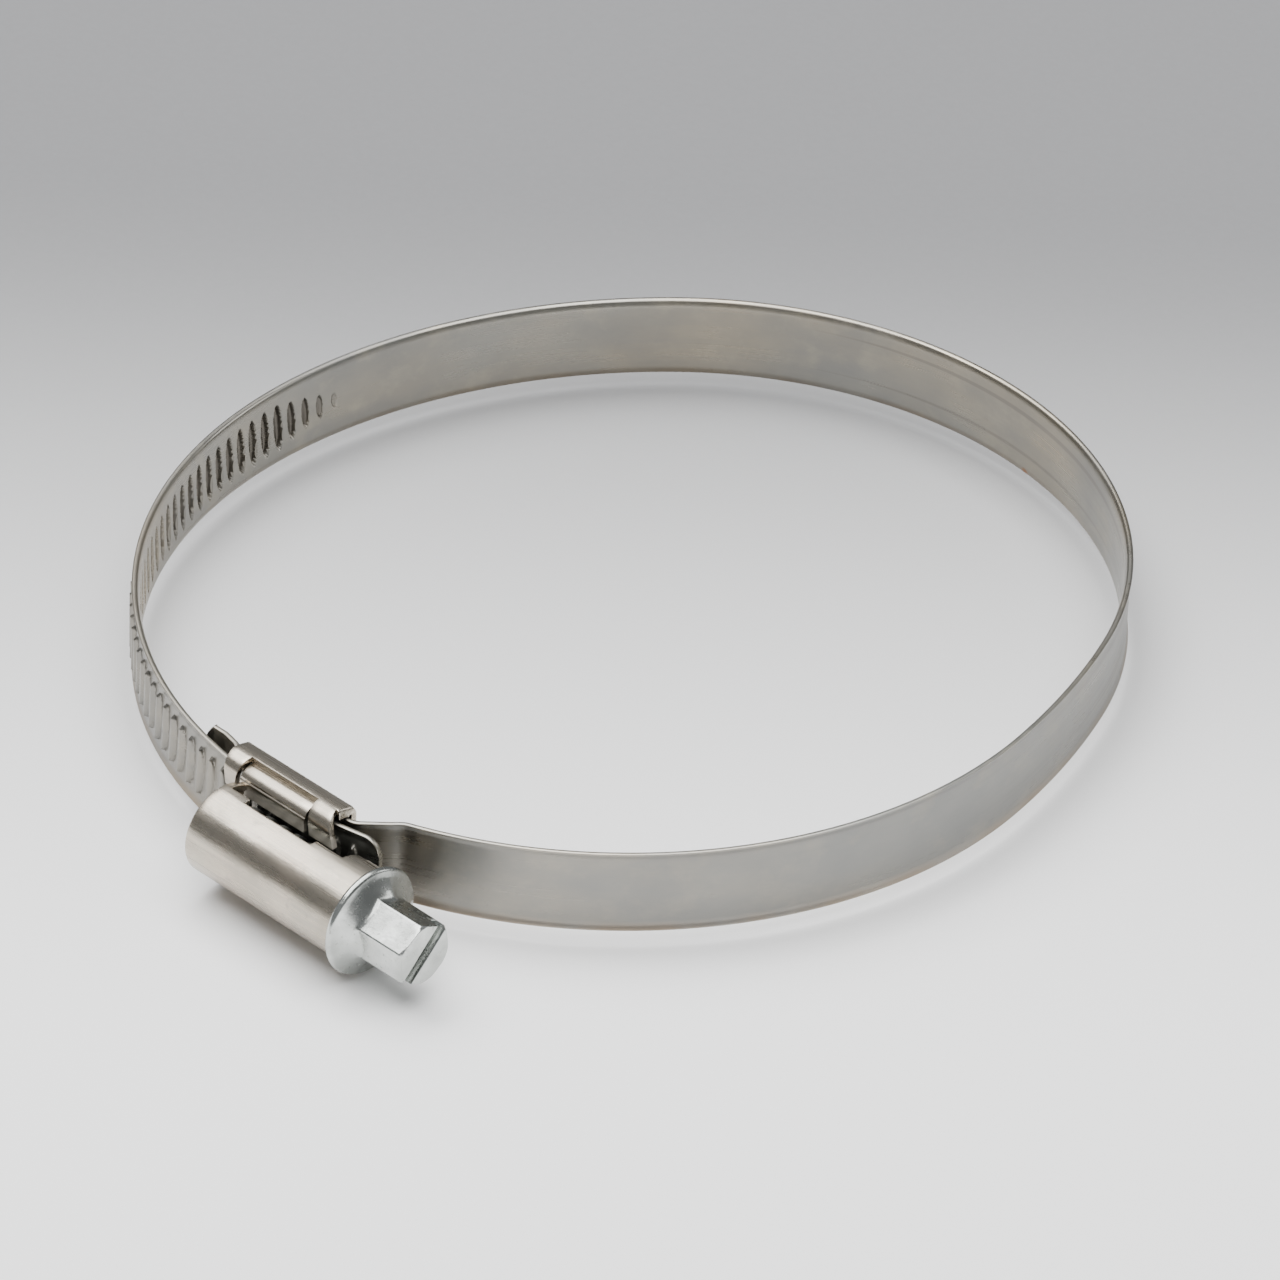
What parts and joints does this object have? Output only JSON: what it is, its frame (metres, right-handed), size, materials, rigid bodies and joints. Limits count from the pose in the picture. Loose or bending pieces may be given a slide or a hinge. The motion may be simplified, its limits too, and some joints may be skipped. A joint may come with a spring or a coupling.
{
  "type": "worm-drive hose clamp",
  "caption": "Worm-drive hose clamp: a toothed steel band bent into a ring, drawn tight through a housing by a screw with a slotted hex head; stored nearly fully open.",
  "frame": {"origin": "centre of the round seat opposite the housing, at half the band's width", "axes": "+Z through the ring, across the band's width; -Y towards the housing; +X along the screw towards its hex head"},
  "size_m": [0.1247, 0.1498, 0.0156],
  "materials": {
    "band_steel": "satin",
    "housing_steel": "satin",
    "zinc_plate": "gloss"
  },
  "bodies": {
    "clamp_body": {"housing": "housing_steel", "saddle": "housing_steel", "band_fixed_end": "band_steel"},
    "screw_body": {"screw": "zinc_plate"},
    "band_01_body": {"band_01": "band_steel"},
    "band_02_body": {"band_02": "band_steel"},
    "band_03_body": {"band_03": "band_steel"},
    "band_04_body": {"band_04": "band_steel"},
    "band_05_body": {"band_05": "band_steel"},
    "band_06_body": {"band_06": "band_steel"},
    "band_07_body": {"band_07": "band_steel"},
    "band_08_body": {"band_08": "band_steel"},
    "band_09_body": {"band_09": "band_steel"},
    "band_10_body": {"band_10": "band_steel"},
    "band_11_body": {"band_11": "band_steel"},
    "band_12_body": {"band_12": "band_steel"},
    "band_13_body": {"band_13": "band_steel"},
    "band_14_body": {"band_14": "band_steel"},
    "band_15_body": {"band_15": "band_steel"},
    "band_tail_body": {"band_tail": "band_steel"}
  },
  "joints": [
    {"name": "screw_turn", "type": "hinge", "parent": "clamp_body", "child": "screw_body", "pos_m": [0.0039, -0.08446, 0], "axis": [-1, 0, 0], "range_deg": [-360, 7740]},
    {"name": "band_01_bend", "type": "hinge", "parent": "clamp_body", "child": "band_01_body", "pos_m": [0.02361, -0.07073, 0], "axis": [0, 0, 1], "range_deg": [-0.19, 3.51]},
    {"name": "band_02_bend", "type": "hinge", "parent": "clamp_body", "child": "band_02_body", "pos_m": [0.03237, -0.06442, 0], "axis": [0, 0, 1], "range_deg": [-0.36, 7.23]},
    {"name": "band_03_bend", "type": "hinge", "parent": "clamp_body", "child": "band_03_body", "pos_m": [0.03926, -0.05628, 0], "axis": [0, 0, 1], "range_deg": [-0.54, 11.08]},
    {"name": "band_04_bend", "type": "hinge", "parent": "clamp_body", "child": "band_04_body", "pos_m": [0.04381, -0.04703, 0], "axis": [0, 0, 1], "range_deg": [-0.73, 14.93]},
    {"name": "band_05_bend", "type": "hinge", "parent": "clamp_body", "child": "band_05_body", "pos_m": [0.04584, -0.03752, 0], "axis": [0, 0, 1], "range_deg": [-0.9, 18.68]},
    {"name": "band_06_bend", "type": "hinge", "parent": "clamp_body", "child": "band_06_body", "pos_m": [0.0454, -0.02794, 0], "axis": [0, 0, 1], "range_deg": [-1.07, 22.18]},
    {"name": "band_07_bend", "type": "hinge", "parent": "clamp_body", "child": "band_07_body", "pos_m": [0.04304, -0.01944, 0], "axis": [0, 0, 1], "range_deg": [-1.22, 25.38]},
    {"name": "band_08_bend", "type": "hinge", "parent": "clamp_body", "child": "band_08_body", "pos_m": [0.03919, -0.01264, 0], "axis": [0, 0, 1], "range_deg": [-1.36, 28.25]},
    {"name": "band_09_bend", "type": "hinge", "parent": "clamp_body", "child": "band_09_body", "pos_m": [0.03445, -0.00776, 0], "axis": [0, 0, 1], "range_deg": [-1.48, 30.8]},
    {"name": "band_10_bend", "type": "hinge", "parent": "clamp_body", "child": "band_10_body", "pos_m": [0.02931, -0.00472, 0], "axis": [0, 0, 1], "range_deg": [-1.59, 33.14]},
    {"name": "band_11_bend", "type": "hinge", "parent": "clamp_body", "child": "band_11_body", "pos_m": [0.0241, -0.00331, 0], "axis": [0, 0, 1], "range_deg": [-1.69, 35.38]},
    {"name": "band_12_bend", "type": "hinge", "parent": "clamp_body", "child": "band_12_body", "pos_m": [0.01908, -0.00317, 0], "axis": [0, 0, 1], "range_deg": [-1.8, 37.65]},
    {"name": "band_13_bend", "type": "hinge", "parent": "clamp_body", "child": "band_13_body", "pos_m": [0.01436, -0.00419, 0], "axis": [0, 0, 1], "range_deg": [-1.91, 40.03]},
    {"name": "band_14_bend", "type": "hinge", "parent": "clamp_body", "child": "band_14_body", "pos_m": [0.01011, -0.00631, 0], "axis": [0, 0, 1], "range_deg": [-2.04, 42.58]},
    {"name": "band_15_bend", "type": "hinge", "parent": "clamp_body", "child": "band_15_body", "pos_m": [0.00655, -0.00929, 0], "axis": [0, 0, 1], "range_deg": [-2.17, 45.34]},
    {"name": "band_tail_feed", "type": "hinge", "parent": "clamp_body", "child": "band_tail_body", "pos_m": [0.0039, -0.01296, 0], "axis": [0, 0, 1], "range_deg": [-2.31, 48.35]}
  ],
  "couplings": [
    {"joint": "band_01_bend", "follows": "screw_turn", "ratio": 0.00045023},
    {"joint": "band_02_bend", "follows": "screw_turn", "ratio": 0.00092974},
    {"joint": "band_03_bend", "follows": "screw_turn", "ratio": 0.0014258},
    {"joint": "band_04_bend", "follows": "screw_turn", "ratio": 0.0019229},
    {"joint": "band_05_bend", "follows": "screw_turn", "ratio": 0.0024056},
    {"joint": "band_06_bend", "follows": "screw_turn", "ratio": 0.002857},
    {"joint": "band_07_bend", "follows": "screw_turn", "ratio": 0.00327},
    {"joint": "band_08_bend", "follows": "screw_turn", "ratio": 0.0036395},
    {"joint": "band_09_bend", "follows": "screw_turn", "ratio": 0.0039692},
    {"joint": "band_10_bend", "follows": "screw_turn", "ratio": 0.0042704},
    {"joint": "band_11_bend", "follows": "screw_turn", "ratio": 0.0045598},
    {"joint": "band_12_bend", "follows": "screw_turn", "ratio": 0.0048525},
    {"joint": "band_13_bend", "follows": "screw_turn", "ratio": 0.0051587},
    {"joint": "band_14_bend", "follows": "screw_turn", "ratio": 0.0054875},
    {"joint": "band_15_bend", "follows": "screw_turn", "ratio": 0.0058438},
    {"joint": "band_tail_feed", "follows": "screw_turn", "ratio": 0.006232}
  ]
}
